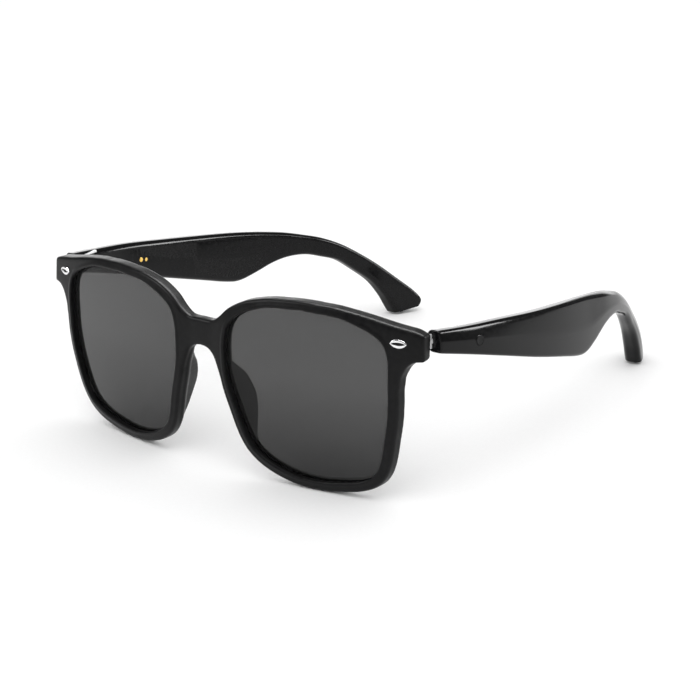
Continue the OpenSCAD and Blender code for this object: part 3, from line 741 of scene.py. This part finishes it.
# ---------------------------------------------------------------- rivets
RIVET_X, RIVET_Z, RIVET_W, RIVET_H = END_X - 6.8, END_TOP - 3.1, 5, 2.5
rivet_turn = math.asin(RIVET_X / FACE_R)
circle_r = (RIVET_W**2 / RIVET_H + RIVET_H) / 4
half_angle = math.asin(RIVET_W / 2 / circle_r)
arc_angles = np.linspace(-half_angle, half_angle, 25)
lid = np.stack((circle_r * np.sin(arc_angles), circle_r * np.cos(arc_angles) - circle_r + RIVET_H / 2), 1)
oval = np.concatenate((lid, -lid[1:-1]))[::-1]
# shares of the oval's width and height, and how far each ring stands proud
RIVET_PROFILE = (
    (1.0, 1.0, -1.3), (1.0, 1.0, 0.06), (0.985, 0.97, 0.13), (0.95, 0.9, 0.19), (0.91, 0.72, 0.235),
    (0.87, 0.5, 0.25), (0.85, 0.36, 0.24), (0.84, 0.33, 0.2), (0.83, 0.31, -0.6), (0.5, 0.18, -0.65),
    (0.05, 0.02, -0.65))
rivet_face = float(face_y(RIVET_X, RIVET_Z))
for name, sign in SIDES:
    rings = []
    for wide, high, proud in RIVET_PROFILE:
        x, z = oval[:, 0] * wide, oval[:, 1] * high
        rings.append(np.stack((
            RIVET_X + x * math.cos(rivet_turn) + proud * math.sin(rivet_turn),
            rivet_face + x * math.sin(rivet_turn) - proud * math.cos(rivet_turn),
            RIVET_Z + z), 1))
    points, faces = mirrored(*loft(rings), sign)
    rivet = piece("rivet_" + name + "_head", points, faces, "front",
                  ["rivet_" + name], sharp=40)
    dress(rivet, "rivet_silver")

# ---------------------------------------------------------------- charging contacts
CONTACT_R = 0.75
for name, sign in SIDES:
    for which in ("front", "rear"):
        node = "contact_" + which + "_" + name
        low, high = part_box(node)
        start = high.x if sign > 0 else low.x
        reach = (high.x - low.x) / MM
        profile = [
            (CONTACT_R, 0), (CONTACT_R, reach - 0.12), (0.72, reach - 0.06), (0.62, reach - 0.02),
            (0.4, reach - 0.005), (0.2, reach), (0.05, reach)]
        place = (start / MM, (low.y + high.y) / 2 / MM + ORIGIN_Y, (low.z + high.z) / 2 / MM)
        points, faces = turned_disc(profile, place, (-sign, 0, 0), 32)
        pin = piece(node + "_pin", points, faces, "temple_" + name, [node], sharp=45)
        dress(pin, "contact_gold")

# ---------------------------------------------------------------- CAD nodes that stay
KEPT = {
    "front_hinge": "hinge_steel", "temple_hinge": "hinge_steel", "hinge_screw": "screw_steel",
    "battery": "battery_foil", "board": "board_green", "flex": "flex_amber", "speaker": "speaker_steel",
    "grille": "grille_mesh", "microphone": "microphone_can",
    "magnet_front": "magnet_nickel", "magnet_rear": "magnet_nickel"}
for stem, slot in KEPT.items():
    for name, sign in SIDES:
        obj = bpy.data.objects[stem + "_" + name]
        if not obj.material_slots:
            obj.data.materials.append(MATERIALS[slot])
        for one in obj.material_slots:
            one.material = MATERIALS[slot]
        if stem in ("front_hinge", "temple_hinge", "hinge_screw"):
            soften = obj.modifiers.new("edges", "BEVEL")
            soften.width, soften.segments, soften.limit_method = 0.00008, 2, "ANGLE"
            soften.angle_limit = math.radians(40)

# ---------------------------------------------------------------- floor and light
floor_mesh = bpy.data.meshes.new("floor")
FLOOR_HALF, FLOOR_DROP = 3.0, 0.00005
floor_mesh.from_pydata([(a * FLOOR_HALF, b * FLOOR_HALF, 0) for a, b in ((-1, -1), (1, -1), (1, 1), (-1, 1))],
                       [], [(0, 1, 2, 3)])
floor = bpy.data.objects.new("floor", floor_mesh)
scene.collection.objects.link(floor)
floor_mat = material("floor_white", (0.93, 0.93, 0.93), 0.7, bump=0.05, shade_by=0.01, specular=0.1)
floor.data.materials.append(floor_mat)
floor.location.z = -FLOOR_DROP

world = bpy.data.worlds.new("studio")
scene.world = world
world.use_nodes = True
nodes, links = world.node_tree.nodes, world.node_tree.links
background = nodes["Background"]
background.inputs["Color"].default_value = (1, 1, 1, 1)
rays = nodes.new("ShaderNodeLightPath")
strength = nodes.new("ShaderNodeMapRange")
strength.inputs["To Min"].default_value = 1.0
strength.inputs["To Max"].default_value = 0.12
links.new(rays.outputs["Is Glossy Ray"], strength.inputs["Value"])
seen = nodes.new("ShaderNodeMath")
seen.operation = "MAXIMUM"
links.new(strength.outputs["Result"], seen.inputs[0])
links.new(rays.outputs["Is Camera Ray"], seen.inputs[1])
links.new(seen.outputs["Value"], background.inputs["Strength"])


def softbox(name, place, aim, size, power, only_gloss=False):
    light = bpy.data.lights.new(name, "AREA")
    light.shape = "RECTANGLE"
    light.size, light.size_y, light.energy = *size, power
    obj = bpy.data.objects.new(name, light)
    scene.collection.objects.link(obj)
    obj.location = place
    obj.rotation_euler = (Vector(place) - Vector(aim)).to_track_quat("Z", "Y").to_euler()
    obj.visible_diffuse = not only_gloss
    obj.visible_camera = False


AIM = (0, 0, 0.03)
softbox("key", (0.35, -0.45, 1.0), AIM, (0.8, 0.8), 3.5)
softbox("above", (0.0, 0.25, 0.9), AIM, (1.1, 0.5), 26, only_gloss=True)
softbox("backdrop", (-1.0, 1.25, 0.28), AIM, (2.0, 0.56), 8, only_gloss=True)
softbox("right_rear", (0.75, 0.75, 0.4), AIM, (0.25, 0.5), 9, only_gloss=True)
softbox("front_left", (-0.7, -0.8, 0.6), AIM, (0.3, 0.5), 5, only_gloss=True)
